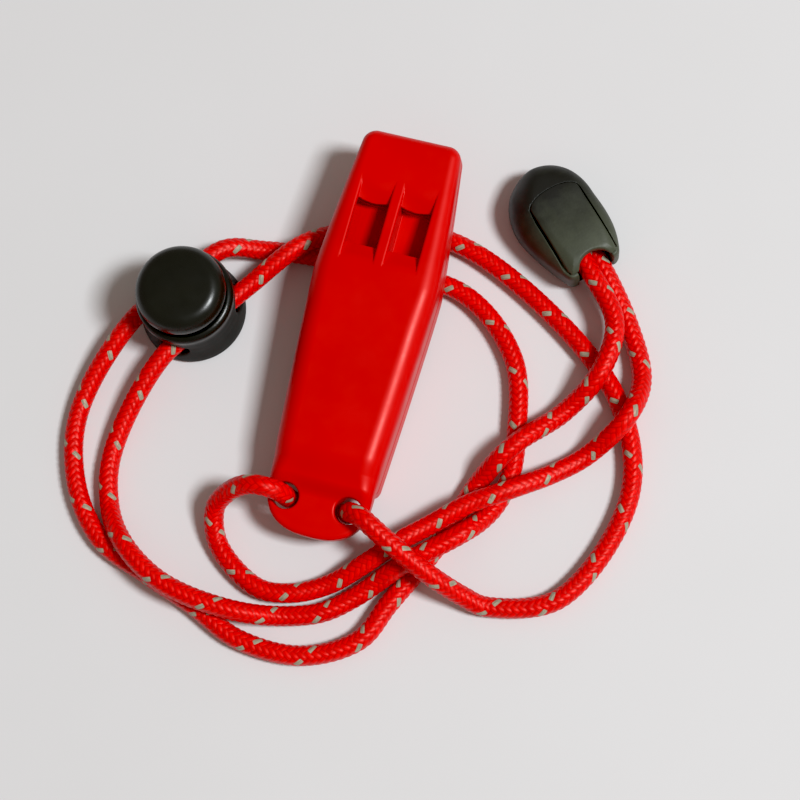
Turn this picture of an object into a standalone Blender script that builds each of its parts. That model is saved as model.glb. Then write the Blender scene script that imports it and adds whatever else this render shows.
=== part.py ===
"""Flat twin-chamber whistle on a looped cord, with a spring cord lock and a two-part end clip.

Units are metres and +Z is up. The whistle lies along Y with its mouthpiece at +Y: its tail
rests on the surface at z = 0 and its mouth end lies on two strands of its own cord. The
origin is on that surface, under the middle of the whistle.
"""

import math

import bmesh
import bpy
from mathutils import Matrix, Vector

MM = 0.001
GAP = 0.3 * MM

# Whistle, in its own level frame: Y along its length, z = 0 at half its thickness.
BODY_TAIL_Y = -26.0 * MM
MOUTH_Y = 34.3 * MM
HALF_THICK = 5.8 * MM
MOUTH_HALF_THICK = 3.2 * MM
TAPER_Y = 9.0 * MM
TAIL_HALF_WIDTH = 8.7 * MM
WIDEST_HALF_WIDTH = 10.7 * MM
WIDEST_Y = 9.0 * MM
MOUTH_HALF_WIDTH = 8.3 * MM
EDGE_RADIUS = 2.4 * MM
WALL = 1.6 * MM
SEAM_Z = -0.8 * MM
RIB_HALF_WIDTH = 0.95 * MM
WINDOW_OUTER_X = 6.4 * MM
WINDOW_MOUTH_Y = 21.8 * MM
LABIUM_START_Y = 11.8 * MM
LABIUM_EDGE_Y = 13.4 * MM
LABIUM_EDGE_Z = 4.3 * MM
CEILING_Z = 3.6 * MM
CHAMBER_FLOOR_Z = 0.2 * MM
SCOOP_LENGTH = 3.0 * MM
SCOOP_FLOOR_Z = 3.5 * MM
WINDWAY_LOW_Z = 1.3 * MM
WINDWAY_HEIGHT = 1.3 * MM
WINDWAY_DROP = 1.5 * MM
LONG_CHAMBER_Y = -22.0 * MM
SHORT_CHAMBER_Y = -16.0 * MM
TAB_TIP_Y = -34.9 * MM
TAB_HALF_WIDTH = 8.8 * MM
TAB_EDGE = 0.5 * MM
TAB_SQUARENESS = 0.8
TAB_LOW_Z = -0.3 * MM
TAB_HIGH_Z = 3.0 * MM
TAIL_HOLE_X = 5.4 * MM
TAIL_HOLE_Y = -29.2 * MM
TAIL_HOLE_HALF = (2.3 * MM, 2.75 * MM)
WHISTLE_TILT = math.radians(5.0)
WHISTLE_SHIFT_Y = 0.34 * MM

# Cord.
CORD_RADIUS = 1.7 * MM
CORD_LONGEST_STEP = 15.0 * MM
STEPS_PER_SPAN = 40

# Cord lock: one vertical axis, and two strands that pass it level, one on each side.
LOCK_CENTRE = Vector((-31.0, -0.7, 0.0)) * MM
LOCK_STRAND_ANGLE = math.radians(55.0)
STRAND_OFFSET = 4.2 * MM
STRAND_Z = 4.9 * MM
STRAND_HOLE_RADIUS = 2.05 * MM
LOCK_BASE_RADIUS = 9.1 * MM
LOCK_RIM_RADIUS = 8.0 * MM
LOCK_BARREL_HEIGHT = 10.7 * MM
LOCK_BORE_RADIUS = 7.1 * MM
LOCK_FLOOR = 0.8 * MM
PLUNGER_TRAVEL = 1.2 * MM
STEM_RADIUS = 6.8 * MM
STEM_LOW_Z = LOCK_FLOOR + PLUNGER_TRAVEL + 0.25 * MM
CAP_LOW_Z = LOCK_BARREL_HEIGHT + PLUNGER_TRAVEL + 0.3 * MM
CAP_HIGH_Z = 16.1 * MM
CAP_RADIUS = 7.6 * MM
SLOT_HALF_WIDTH = 1.95 * MM
SPRING_RADIUS = 1.15 * MM
SPRING_WIRE_RADIUS = 0.22 * MM
SPRING_TURNS = 6
SPRING_BORE_RADIUS = 1.65 * MM

# End clip: its own frame has X along the clip towards its mouth.
CLIP_CENTRE = Vector((28.0, 28.0, 0.0)) * MM
CLIP_ANGLE = math.radians(-45.0)
CLIP_HEIGHT = 9.0 * MM
CLIP_MOUTH_X = 9.2 * MM
CLIP_BACK_X = -11.8 * MM
CLIP_WIDEST_X = -2.4 * MM
CLIP_HALF_WIDTH = 7.35 * MM
CLIP_MOUTH_NARROWING = 2.75 * MM
CLIP_OFFSET = -0.85 * MM
LID_HALF_WIDTH = 4.6 * MM
LID_END_X = -6.2 * MM
LID_LOW_Z = 7.2 * MM
CLIP_CAVITY_HALF = 4.1 * MM
CLIP_CAVITY_TAIL_X = -8.2 * MM
CLIP_MOUTH_WALL = 1.4 * MM
CLIP_FLOOR = 0.9 * MM
CLIP_MOUTH_SIDES = (-3.1 * MM, 3.4 * MM)
LID_HINGE = Vector((LID_END_X, 0.0, 8.5 * MM))

# The cord's centreline in millimetres, from its first end in the clip to its second.
ROUTE_MM = (
    # from the clip, over two strands, down to the surface
    (26.8, 27.6, 5.3), (33.6, 21.0, 5.3), (39.7, 13.4, 5.2), (39.5, 4.6, 5.6),
    (35.2, -3.0, 2.8), (29.3, -10.2, 5.4), (26.6, -14.1, 4.8), (24.4, -17.8, 2.1),
    (22.9, -22.0, 1.8), (19.9, -31.0, 1.8), (15.1, -41.3, 1.8),
    # lower outside loop, round to the lock
    (12.0, -48.2, 1.8), (3.6, -53.1, 1.8), (-7.6, -53.2, 1.8), (-16.6, -49.6, 1.8),
    (-25.3, -46.7, 1.8), (-34.8, -43.0, 1.8), (-41.6, -35.0, 1.8), (-44.9, -23.0, 1.8),
    (-40.0, -6.2, 4.8),
    # through the lock, under the whistle and into the bundle from above
    (-34.44, 1.71, 4.9), (-29.0, 9.4, 4.8), (-26.8, 11.0, 4.0), (-22.6, 12.2, 2.1),
    (-15.8, 13.2, 1.8), (-6.0, 13.5, 1.8), (13.6, 13.0, 1.8), (24.6, 4.0, 1.8),
    (28.4, -8.8, 1.8), (29.1, -15.8, 1.8), (28.0, -21.0, 1.9), (26.2, -24.6, 3.2),
    (23.9, -27.6, 5.2), (21.4, -30.0, 5.5), (18.6, -32.5, 5.4), (15.4, -35.3, 4.7),
    (12.2, -38.6, 2.5), (9.4, -41.6, 1.8), (4.8, -45.4, 1.8), (-1.9, -47.8, 1.9),
    (-8.5, -49.0, 4.4), (-17.4, -48.6, 5.3), (-23.5, -47.0, 5.4),
    # the inner left loop, and back through the lock
    (-30.0, -43.0, 4.9), (-35.0, -37.0, 2.0), (-37.2, -28.0, 1.8), (-33.1, -11.0, 4.7),
    (-27.56, -3.11, 4.9), (-22.1, 4.8, 4.8), (-14.9, 14.0, 5.6), (-8.6, 18.8, 1.9),
    (7.0, 21.8, 1.8),
    # the big right-hand loop, and over the bundle to the whistle's tail
    (22.0, 17.0, 1.8), (43.0, 1.6, 1.8), (49.0, -14.0, 1.8), (42.0, -33.4, 1.8),
    (30.7, -37.7, 1.8), (26.6, -37.2, 3.6), (22.2, -36.1, 6.6), (17.6, -34.4, 8.9),
    (12.4, -32.0, 10.4), (8.2, -29.9, 10.9),
    # down one tail hole and up the other
    (6.1, -29.2, 9.2), (4.95, -29.0, 4.6), (3.3, -29.0, 2.8), (0.0, -29.0, 2.3),
    (-3.3, -29.0, 2.8), (-4.95, -28.9, 4.6), (-6.15, -28.8, 9.0), (-8.2, -28.8, 10.9),
    # the small left loop, and through the bundle to the clip
    (-11.0, -29.0, 10.7), (-14.3, -30.3, 8.1), (-16.9, -33.4, 4.4), (-15.2, -38.8, 1.8),
    (-7.0, -44.1, 1.8), (-1.0, -43.6, 1.8), (4.6, -40.7, 1.8), (9.6, -36.2, 3.6), (13.9, -31.8, 5.4),
    (18.4, -27.6, 5.2), (23.9, -22.5, 5.5), (30.4, -18.1, 5.4), (36.0, -13.6, 2.8),
    (40.6, -9.2, 2.2), (45.6, -2.0, 5.9), (46.3, 5.6, 2.6), (41.8, 14.6, 1.9),
    (34.9, 23.3, 3.0), (28.7, 29.5, 3.0),
)


def clear_scene():
    for obj in list(bpy.data.objects):
        bpy.data.objects.remove(obj, do_unlink=True)


def new_collection(name):
    collection = bpy.data.collections.new(name)
    bpy.context.scene.collection.children.link(collection)
    return collection


def material(name, colour, roughness, metallic=0.0):
    made = bpy.data.materials.new(name)
    made.use_nodes = True
    shader = made.node_tree.nodes["Principled BSDF"]
    shader.inputs["Base Color"].default_value = (*colour, 1.0)
    shader.inputs["Roughness"].default_value = roughness
    shader.inputs["Metallic"].default_value = metallic
    return made


def object_of(bm, name, collection):
    bmesh.ops.recalc_face_normals(bm, faces=bm.faces)
    mesh = bpy.data.meshes.new(name)
    bm.to_mesh(mesh)
    bm.free()
    obj = bpy.data.objects.new(name, mesh)
    collection.objects.link(obj)
    return obj


def finish(obj, mat, parent):
    obj.data.materials.append(mat)
    obj.data.shade_smooth()
    obj.data.set_sharp_from_angle(angle=math.radians(35))
    obj.parent = parent


def empty(name, location, rotation):
    made = bpy.data.objects.new(name, None)
    made.location = location
    made.rotation_euler = rotation
    parts.objects.link(made)
    return made


def cutter(bm, name, parent):
    made = object_of(bm, name, cutters)
    made.hide_render = True
    made.display_type = "WIRE"
    made.parent = parent
    return made


def boolean(obj, other, operation="DIFFERENCE"):
    modifier = obj.modifiers.new(operation.lower(), "BOOLEAN")
    modifier.operation = operation
    modifier.object = other
    modifier.solver = "EXACT"


def loft(rings):
    """A closed body through rings of the same number of points, capped at both ends."""
    bm = bmesh.new()
    made = [[bm.verts.new(point) for point in ring] for ring in rings]
    count = len(made[0])
    for ring, after in zip(made, made[1:]):
        for i in range(count):
            bm.faces.new((ring[i], ring[(i + 1) % count], after[(i + 1) % count], after[i]))
    bm.faces.new(made[0])
    bm.faces.new(made[-1])
    return bm


def prism(outline, axis, low, high):
    """An outline of two-number points swept along the axis named, between two heights."""
    order = {"x": (2, 0, 1), "y": (0, 2, 1), "z": (0, 1, 2)}[axis]
    bm = bmesh.new()
    corners = [bm.verts.new([(*point, low)[k] for k in order]) for point in outline]
    face = bm.faces.new(corners)
    swept = bmesh.ops.extrude_face_region(bm, geom=[face])["geom"]
    moved = [item for item in swept if isinstance(item, bmesh.types.BMVert)]
    step = Vector([(0.0, 0.0, high - low)[k] for k in order])
    bmesh.ops.translate(bm, verts=moved, vec=step)
    return bm


def box(low, high):
    bm = bmesh.new()
    bmesh.ops.create_cube(bm, size=1.0)
    size = [b - a for a, b in zip(low, high)]
    middle = [(a + b) / 2 for a, b in zip(low, high)]
    bmesh.ops.scale(bm, verts=bm.verts, vec=size)
    bmesh.ops.translate(bm, verts=bm.verts, vec=middle)
    return bm


def cylinder(radius, low, high, segments=32):
    bm = bmesh.new()
    bmesh.ops.create_cone(
        bm, cap_ends=True, segments=segments, radius1=radius, radius2=radius, depth=high - low
    )
    bmesh.ops.translate(bm, verts=bm.verts, vec=(0, 0, (low + high) / 2))
    return bm


def turned(name, profile, collection, steps=40):
    """A body turned about Z from a profile of (radius, z) points that starts on the axis."""
    bm = bmesh.new()
    points = [bm.verts.new((radius, 0, z)) for radius, z in profile]
    for a, b in zip(points, points[1:]):
        bm.edges.new((a, b))
    mesh = bpy.data.meshes.new(name)
    bm.to_mesh(mesh)
    bm.free()
    obj = bpy.data.objects.new(name, mesh)
    collection.objects.link(obj)
    screw = obj.modifiers.new("turn", "SCREW")
    screw.steps = steps
    screw.render_steps = steps
    screw.use_merge_vertices = True
    screw.merge_threshold = 0.00002
    return obj


def arc(centre, radius, start, end, count):
    """Points (radius, z) on a round corner, from one angle to another, in degrees."""
    angles = [math.radians(start + (end - start) * i / count) for i in range(count + 1)]
    return [(centre[0] + radius * math.cos(a), centre[1] + radius * math.sin(a)) for a in angles]


def rounded_ring(half_width, low, high, radius, corner_steps=5):
    """A rectangle's outline with round corners, as (across, height) points."""
    radius = min(radius, 0.98 * half_width, 0.49 * (high - low))
    outline = []
    for sign_x, sign_z, start in ((1, -1, -90), (1, 1, 0), (-1, 1, 90), (-1, -1, 180)):
        centre_x = sign_x * (half_width - radius)
        centre_z = high - radius if sign_z > 0 else low + radius
        outline += arc((centre_x, centre_z), radius, start, start + 90, corner_steps)
    return outline


def smoothed(points):
    """A centripetal Catmull-Rom curve through the points, as many short steps."""
    route = [Vector(p) for p in points]
    route = [2 * route[0] - route[1], *route, 2 * route[-1] - route[-2]]
    curve = []
    for p0, p1, p2, p3 in zip(route, route[1:], route[2:], route[3:]):
        t1 = math.sqrt((p1 - p0).length)
        t2 = t1 + math.sqrt((p2 - p1).length)
        t3 = t2 + math.sqrt((p3 - p2).length)
        for step in range(STEPS_PER_SPAN):
            t = t1 + (t2 - t1) * step / STEPS_PER_SPAN
            a1 = p0.lerp(p1, t / t1)
            a2 = p1.lerp(p2, (t - t1) / (t2 - t1))
            a3 = p2.lerp(p3, (t - t2) / (t3 - t2))
            b1 = a1.lerp(a2, t / t2)
            b2 = a2.lerp(a3, (t - t1) / (t3 - t1))
            curve.append(b1.lerp(b2, (t - t1) / (t2 - t1)))
    return [*curve, route[-2]]


def cord_points():
    """The route's own points, and one or more between any two that are far apart."""
    route = [Vector(point) * MM for point in ROUTE_MM]
    curve = smoothed(route)
    points = []
    for k, (point, after) in enumerate(zip(route, route[1:])):
        pieces = math.ceil((after - point).length / CORD_LONGEST_STEP)
        for i in range(pieces):
            points.append(curve[k * STEPS_PER_SPAN + i * STEPS_PER_SPAN // pieces])
    points.append(route[-1])
    lowest = CORD_RADIUS + 0.02 * MM
    return [(point.x, point.y, max(point.z, lowest)) for point in points]


def body_half_width(y):
    """Half the whistle's width: widest near the windows, narrower at the tail and mouth."""
    if y < WIDEST_Y:
        along = (WIDEST_Y - y) / (WIDEST_Y - BODY_TAIL_Y)
        return WIDEST_HALF_WIDTH + (TAIL_HALF_WIDTH - WIDEST_HALF_WIDTH) * along**1.25
    along = (y - WIDEST_Y) / (MOUTH_Y - WIDEST_Y)
    return WIDEST_HALF_WIDTH + (MOUTH_HALF_WIDTH - WIDEST_HALF_WIDTH) * along**1.15


def body_half_thickness(y):
    """Half the whistle's thickness: level, then a straight taper to the mouth."""
    along = max(0.0, (y - TAPER_Y) / (MOUTH_Y - TAPER_Y))
    return HALF_THICK + (MOUTH_HALF_THICK - HALF_THICK) * along


def whistle_body_rings():
    """Sections along the whistle, drawn in at its tail and mouth ends to round them."""
    tail_round, mouth_round = 1.2 * MM, 1.8 * MM
    stations = []
    for i in range(4):
        angle = math.radians(30 * (3 - i))
        inset = tail_round * (1 - math.cos(angle))
        stations.append((BODY_TAIL_Y + tail_round * (1 - math.sin(angle)), inset))
    for y in (-20, -14, -8, -2, 4, 9, 13, 17, 21, 25, 29):
        stations.append((y * MM, 0.0))
    for i in range(5):
        angle = math.radians(22.5 * i)
        inset = mouth_round * (1 - math.cos(angle))
        stations.append((MOUTH_Y - mouth_round * (1 - math.sin(angle)), inset))
    rings = []
    for y, inset in stations:
        thick = body_half_thickness(y) - inset
        ring = rounded_ring(body_half_width(y) - inset, -thick, thick, EDGE_RADIUS - inset * 0.6)
        rings.append([(x, y, z) for x, z in ring])
    return rings


def tail_tab():
    """The tab with a half-oval tip, its edges rounded, that reaches into the body."""
    root_y = BODY_TAIL_Y + 1.5 * MM
    depth = BODY_TAIL_Y - TAB_TIP_Y
    outline = [(TAB_HALF_WIDTH, root_y), (-TAB_HALF_WIDTH, root_y)]
    for i in range(21):
        angle = math.radians(180 + 180 * i / 20)
        x, y = math.cos(angle), math.sin(angle)
        across = math.copysign(abs(x) ** TAB_SQUARENESS, x) * TAB_HALF_WIDTH
        outline.append((across, BODY_TAIL_Y - abs(y) ** TAB_SQUARENESS * depth))
    bm = prism(outline, "z", TAB_LOW_Z, TAB_HIGH_Z)
    rims = [e for e in bm.edges if abs(e.verts[0].co.z - e.verts[1].co.z) < 1e-7]
    outer = [e for e in rims if min(v.co.y for v in e.verts) < root_y - 1e-6]
    bmesh.ops.bevel(bm, geom=outer, offset=TAB_EDGE, segments=2, profile=0.5, affect="EDGES")
    return bm


def tail_hole(side):
    bm = cylinder(1.0, TAB_LOW_Z - 2 * MM, TAB_HIGH_Z + 5 * MM, segments=24)
    bmesh.ops.scale(bm, verts=bm.verts, vec=(*TAIL_HOLE_HALF, 1.0))
    bmesh.ops.translate(bm, verts=bm.verts, vec=(side * TAIL_HOLE_X, TAIL_HOLE_Y, 0))
    return bm


def chamber_rings(tail_y, side):
    """A resonance chamber beside the centre rib, a wall's thickness inside the body."""
    rings = []
    for y in (tail_y, -8 * MM, TAPER_Y, WINDOW_MOUTH_Y):
        high = body_half_thickness(y) - WALL if y < TAPER_Y else CEILING_Z
        outer = body_half_width(y) - WALL
        flat = [
            (RIB_HALF_WIDTH, CHAMBER_FLOOR_Z), (outer, CHAMBER_FLOOR_Z),
            (outer, high), (RIB_HALF_WIDTH, high),
        ]
        rings.append([(side * x, y, z) for x, z in flat])
    return rings


def window_outline():
    """Side view (y, z) of the window: a sloped labium at the tail end, open at the top."""
    above = HALF_THICK + 2 * MM
    face_z = body_half_thickness(LABIUM_START_Y)
    slope = (LABIUM_EDGE_Z - face_z) / (LABIUM_EDGE_Y - LABIUM_START_Y)
    under_y = LABIUM_EDGE_Y + 0.2 * MM
    return (
        (under_y, CEILING_Z - 0.6 * MM), (WINDOW_MOUTH_Y, CEILING_Z - 0.6 * MM),
        (WINDOW_MOUTH_Y, above), (LABIUM_START_Y + (above - face_z) / slope, above),
        (LABIUM_START_Y, face_z), (LABIUM_EDGE_Y, LABIUM_EDGE_Z),
    )


def scoop_outline():
    """Side view (y, z) of the slope from the whistle's face down to the window's drop edge."""
    start_y = WINDOW_MOUTH_Y + SCOOP_LENGTH
    above = HALF_THICK + 2 * MM
    low_y = WINDOW_MOUTH_Y - 0.1 * MM
    start_z = body_half_thickness(start_y)
    return ((low_y, SCOOP_FLOOR_Z), (start_y, start_z), (start_y, above), (low_y, above))


def windway_outline():
    """Side view (y, z) of the air slot from the mouth to the window."""
    inner_y, outer_y = WINDOW_MOUTH_Y - 0.1 * MM, MOUTH_Y + 1 * MM
    outer_z = WINDWAY_LOW_Z - WINDWAY_DROP
    return (
        (inner_y, WINDWAY_LOW_Z), (outer_y, outer_z),
        (outer_y, outer_z + WINDWAY_HEIGHT), (inner_y, WINDWAY_LOW_Z + WINDWAY_HEIGHT),
    )


def air_cutters(parent):
    made = []
    for side, name, tail_y in ((-1, "left", LONG_CHAMBER_Y), (1, "right", SHORT_CHAMBER_Y)):
        near, far = sorted((side * RIB_HALF_WIDTH, side * WINDOW_OUTER_X))
        made.append(cutter(loft(chamber_rings(tail_y, side)), f"cut_chamber_{name}", parent))
        made.append(cutter(prism(window_outline(), "x", near, far), f"cut_window_{name}", parent))
        made.append(cutter(prism(scoop_outline(), "x", near, far), f"cut_scoop_{name}", parent))
        made.append(cutter(prism(windway_outline(), "x", near, far), f"cut_windway_{name}", parent))
    return made


def build_whistle():
    """Front and back shells, parted along a seam just below half the thickness."""
    red = material("red_gloss_plastic", (0.75, 0.004, 0.004), 0.28)
    rests_y = BODY_TAIL_Y + 1.2 * MM
    lift = HALF_THICK * math.cos(WHISTLE_TILT) - rests_y * math.sin(WHISTLE_TILT)
    frame = empty("whistle_frame", (0, WHISTLE_SHIFT_Y, lift), (WHISTLE_TILT, 0, 0))
    reach = 60 * MM
    front_low, back_high = SEAM_Z + 0.05 * MM, SEAM_Z - 0.05 * MM
    upper = cutter(box((-reach, -reach, front_low), (reach, reach, reach)), "keep_front", frame)
    lower = cutter(box((-reach, -reach, -reach), (reach, reach, back_high)), "keep_back", frame)
    front = object_of(loft(whistle_body_rings()), "whistle_front_shell", parts)
    back = object_of(loft(whistle_body_rings()), "whistle_back_shell", parts)
    boolean(front, upper, "INTERSECT")
    boolean(back, lower, "INTERSECT")
    boolean(front, cutter(tail_tab(), "join_tail_tab", frame), "UNION")
    for piece in air_cutters(frame):
        boolean(front, piece)
    for side, name in ((-1, "left"), (1, "right")):
        boolean(front, cutter(tail_hole(side), f"cut_tail_hole_{name}", frame))
    finish(front, red, frame)
    finish(back, red.copy(), frame)


def strand_cutter(name, side, bm, parent):
    """A cutter that runs level through the lock along one strand."""
    bmesh.ops.translate(bm, verts=bm.verts, vec=(0, side * STRAND_OFFSET, 0))
    return cutter(bm, name, parent)


def level_hole(radius):
    """A cylinder along X at the strands' height."""
    reach = 2 * LOCK_BASE_RADIUS
    bm = cylinder(radius, -reach, reach, segments=24)
    bmesh.ops.rotate(bm, verts=bm.verts, cent=(0, 0, 0), matrix=Matrix.Rotation(math.pi / 2, 3, "Y"))
    bmesh.ops.translate(bm, verts=bm.verts, vec=(0, 0, STRAND_Z))
    return bm


def build_lock():
    black = material("black_satin_plastic", (0.018, 0.019, 0.017), 0.38)
    frame = empty("lock_frame", LOCK_CENTRE, (0, 0, LOCK_STRAND_ANGLE))
    barrel_profile = [
        (0.0, LOCK_FLOOR), (LOCK_BORE_RADIUS, LOCK_FLOOR),
        (LOCK_BORE_RADIUS, LOCK_BARREL_HEIGHT - 0.4 * MM),
        (LOCK_BORE_RADIUS + 0.3 * MM, LOCK_BARREL_HEIGHT),
        *arc((LOCK_RIM_RADIUS - 0.6 * MM, LOCK_BARREL_HEIGHT - 0.6 * MM), 0.6 * MM, 90, 0, 3),
        (LOCK_RIM_RADIUS + 0.1 * MM, 7.5 * MM), (8.4 * MM, 4.6 * MM), (9.0 * MM, 2.6 * MM),
        *arc((LOCK_BASE_RADIUS - 0.9 * MM, 0.9 * MM), 0.9 * MM, 20, -90, 4), (0.0, 0.0),
    ]
    barrel = turned("lock_barrel", barrel_profile, parts)
    plunger_profile = [
        (0.0, CAP_HIGH_Z), (5.0 * MM, CAP_HIGH_Z - 0.15 * MM),
        *arc((CAP_RADIUS - 1.5 * MM, CAP_HIGH_Z - 1.8 * MM), 1.5 * MM, 80, 0, 5),
        *arc((CAP_RADIUS - 0.5 * MM, CAP_LOW_Z + 0.5 * MM), 0.5 * MM, 0, -90, 2),
        (STEM_RADIUS, CAP_LOW_Z), (STEM_RADIUS, STEM_LOW_Z), (0.0, STEM_LOW_Z),
    ]
    plunger = turned("lock_plunger", plunger_profile, parts)
    reach = 2 * LOCK_BASE_RADIUS
    slot_low = STRAND_Z - CORD_RADIUS - 0.2 * MM
    slot_high = STRAND_Z + CORD_RADIUS + PLUNGER_TRAVEL + 0.25 * MM
    for side, name in ((-1, "left"), (1, "right")):
        hole = strand_cutter(f"cut_strand_hole_{name}", side, level_hole(STRAND_HOLE_RADIUS), frame)
        boolean(barrel, hole)
        slot = box((-reach, -SLOT_HALF_WIDTH, slot_low), (reach, SLOT_HALF_WIDTH, slot_high))
        boolean(plunger, strand_cutter(f"cut_strand_slot_{name}", side, slot, frame))
    spring_top = slot_high + 1.2 * MM
    spring_bore = cylinder(SPRING_BORE_RADIUS, STEM_LOW_Z - 1 * MM, spring_top, segments=20)
    boolean(plunger, cutter(spring_bore, "cut_spring_bore", frame))
    finish(barrel, black, frame)
    finish(plunger, black.copy(), frame)
    build_spring(frame, LOCK_FLOOR + GAP, spring_top - GAP)


def build_spring(frame, low, high):
    steel = material("spring_steel", (0.55, 0.55, 0.56), 0.25, 1.0)
    curve = bpy.data.curves.new("lock_spring", "CURVE")
    curve.dimensions = "3D"
    curve.bevel_depth = SPRING_WIRE_RADIUS
    curve.bevel_resolution = 1
    curve.use_fill_caps = True
    spline = curve.splines.new("POLY")
    count = SPRING_TURNS * 12
    spline.points.add(count)
    rise = high - low - 2 * SPRING_WIRE_RADIUS
    for i, point in enumerate(spline.points):
        turn = 2 * math.pi * i / 12
        z = low + SPRING_WIRE_RADIUS + rise * i / count
        point.co = (SPRING_RADIUS * math.cos(turn), SPRING_RADIUS * math.sin(turn), z, 1)
    spring = bpy.data.objects.new("lock_spring", curve)
    parts.objects.link(spring)
    curve.materials.append(steel)
    spring.parent = frame


def clip_half_width(x):
    """Half the clip's plan width: a round end, widest behind the middle, a narrower mouth."""
    if x < CLIP_WIDEST_X:
        along = (CLIP_WIDEST_X - x) / (CLIP_WIDEST_X - CLIP_BACK_X)
        return CLIP_HALF_WIDTH * max(0.0, 1 - along**2.3) ** 0.5
    along = (x - CLIP_WIDEST_X) / (CLIP_MOUTH_X - CLIP_WIDEST_X)
    return CLIP_HALF_WIDTH - CLIP_MOUTH_NARROWING * along**2.6


def clip_middle(x):
    """The housing's middle in plan: to one side of the lid at the back, level with it at the mouth."""
    along = min(1.0, max(0.0, (x - CLIP_WIDEST_X) / (CLIP_MOUTH_X - CLIP_WIDEST_X)))
    return CLIP_OFFSET * (1 - along**1.5)


def clip_rings():
    """Sections along the clip, its upper edges round and its back end raised and drawn in."""
    back = CLIP_BACK_X
    mouth = CLIP_MOUTH_X
    stations = [back + d * MM for d in (0.05, 0.3, 0.8, 1.6, 2.6, 4.0, 5.8, 7.8, 10.3, 13.3)]
    stations += [mouth - d * MM for d in (5.8, 3.8, 2.3, 1.2, 0.4, 0.0)]
    rings = []
    for x in stations:
        rise = min(1.0, (x - back + 0.5 * MM) / (7.5 * MM)) ** 0.5
        high = CLIP_HEIGHT * (0.5 + 0.5 * rise) - max(0.0, x - mouth + 1.2 * MM) * 0.35
        tucked = max(0.0, 1 - (x - back + 0.2 * MM) / (2.6 * MM))
        low = 2.2 * MM * tucked**1.6
        ring = rounded_ring(clip_half_width(x), low, high, 2.6 * MM, corner_steps=4)
        rings.append([(x, y + clip_middle(x), z) for y, z in ring])
    return rings


def lid_outline(grow):
    """Plan of the lid, with its arched inner end; grow widens it for the recess."""
    half = LID_HALF_WIDTH + grow
    mouth_x = CLIP_MOUTH_X + 2 * MM
    points = [(mouth_x, half), (mouth_x, -half)]
    corner_x = LID_END_X + 2.0 * MM
    for i in range(13):
        angle = math.radians(-90 - 180 * i / 12)
        points.append((corner_x + (2.0 * MM + grow) * math.cos(angle), half * math.sin(angle)))
    return points


def cord_arch():
    """The arch at the clip's mouth where both strands come out."""
    middle = sum(CLIP_MOUTH_SIDES) / 2
    bm = cylinder(1.0, 0.0, CLIP_HEIGHT + 4 * MM, segments=28)
    bmesh.ops.scale(bm, verts=bm.verts, vec=(2.6 * MM, 3.1 * MM, 1.0))
    bmesh.ops.translate(bm, verts=bm.verts, vec=(CLIP_MOUTH_X + 0.1 * MM, middle, 3 * MM))
    return bm


def build_clip():
    black = material("black_moulded_plastic", (0.022, 0.024, 0.020), 0.5)
    frame = empty("clip_frame", CLIP_CENTRE, (0, 0, CLIP_ANGLE))
    hinge = empty("clip_lid_hinge", LID_HINGE, (0, 0, 0))
    hinge.parent = frame
    housing = object_of(loft(clip_rings()), "clip_housing", parts)
    cavity_low = (CLIP_CAVITY_TAIL_X, -CLIP_CAVITY_HALF, CLIP_FLOOR)
    cavity_high = (CLIP_MOUTH_X - CLIP_MOUTH_WALL, CLIP_CAVITY_HALF, LID_LOW_Z)
    mouth_low = (CLIP_MOUTH_X - 2 * CLIP_MOUTH_WALL, CLIP_MOUTH_SIDES[0], CLIP_FLOOR)
    mouth_high = (CLIP_MOUTH_X + 2 * MM, CLIP_MOUTH_SIDES[1], CLIP_HEIGHT)
    recess = prism(lid_outline(GAP), "z", LID_LOW_Z - GAP, CLIP_HEIGHT + 2 * MM)
    boolean(housing, cutter(box(cavity_low, cavity_high), "cut_clip_cavity", frame))
    boolean(housing, cutter(box(mouth_low, mouth_high), "cut_clip_mouth", frame))
    boolean(housing, cutter(recess, "cut_lid_recess", frame))
    lid_block = loft(clip_rings())
    bmesh.ops.translate(lid_block, verts=lid_block.verts, vec=-LID_HINGE)
    lid = object_of(lid_block, "clip_lid", parts)
    keep = prism(lid_outline(0.0), "z", LID_LOW_Z, CLIP_HEIGHT + 2 * MM)
    boolean(lid, cutter(keep, "keep_lid", frame), "INTERSECT")
    boolean(lid, cutter(cord_arch(), "cut_cord_arch", frame))
    finish(housing, black, frame)
    finish(lid, black.copy(), hinge)
    build_knot(frame)


def build_knot(frame):
    """The lump where the cord's two ends are tied together inside the clip."""
    bm = bmesh.new()
    bmesh.ops.create_icosphere(bm, subdivisions=3, radius=1.0)
    bmesh.ops.scale(bm, verts=bm.verts, vec=(2.9 * MM, 3.6 * MM, 2.6 * MM))
    bmesh.ops.translate(bm, verts=bm.verts, vec=(-4.6 * MM, 0, 4.0 * MM))
    knot = object_of(bm, "cord_end_knot", parts)
    finish(knot, material("red_cord_knot", (0.7, 0.01, 0.01), 0.8), frame)


def build_cord():
    red = material("red_braided_cord", (0.7, 0.01, 0.01), 0.8)
    curve = bpy.data.curves.new("lanyard_cord", "CURVE")
    curve.dimensions = "3D"
    curve.bevel_depth = CORD_RADIUS
    curve.bevel_resolution = 2
    curve.use_fill_caps = True
    points = cord_points()
    spline = curve.splines.new("POLY")
    spline.points.add(len(points) - 1)
    for target, point in zip(spline.points, points):
        target.co = (*point, 1)
    cord = bpy.data.objects.new("lanyard_cord", curve)
    parts.objects.link(cord)
    curve.materials.append(red)


clear_scene()
parts = new_collection("whistle_on_lanyard")
cutters = new_collection("cutters")
build_whistle()
build_lock()
build_clip()
build_cord()
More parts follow.
